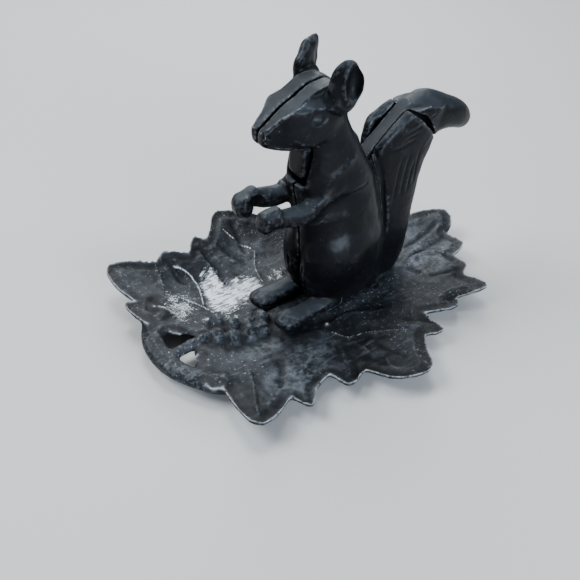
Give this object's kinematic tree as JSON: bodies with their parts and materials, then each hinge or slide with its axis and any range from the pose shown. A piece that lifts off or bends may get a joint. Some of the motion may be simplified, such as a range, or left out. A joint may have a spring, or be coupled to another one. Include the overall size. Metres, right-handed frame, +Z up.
{
  "type": "lever nutcracker",
  "caption": "Cast squirrel nutcracker on an oak-leaf dish: the hinged tail is the lever and carries the lower jaw.",
  "frame": {"origin": "centre of the leaf dish's footprint box, on the ground", "axes": "+X runs from the leaf's stalk and twig handle towards the squirrel's tail, +Y to the squirrel's right side as it faces -X, +Z up"},
  "size_m": [0.2274, 0.1716, 0.1577],
  "materials": {
    "worn_black": "black paint worn to grey-white and bare metal on rims and veins, satin",
    "black": "bluish-black semi-gloss paint with worn edges",
    "steel": "plain zinc-plated steel, satin"
  },
  "bodies": {
    "stand": {"leaf_dish": "worn_black", "body_half_left": "black", "body_half_right": "black", "pivot_pin": "steel", "body_screw_front": "steel", "body_screw_rear": "steel", "base_screw_front_left": "steel", "base_washer_front_left": "steel", "base_screw_front_right": "steel", "base_washer_front_right": "steel", "base_screw_rear_left": "steel", "base_washer_rear_left": "steel", "base_screw_rear_right": "steel", "base_washer_rear_right": "steel"},
    "lever": {"tail_lever": "black"}
  },
  "joints": [
    {"name": "tail_pivot", "type": "hinge", "parent": "stand", "child": "lever", "pos_m": [-0.00362, 0.001, 0.106], "axis": [0, -1, 0], "range_deg": [0, 50]}
  ]
}
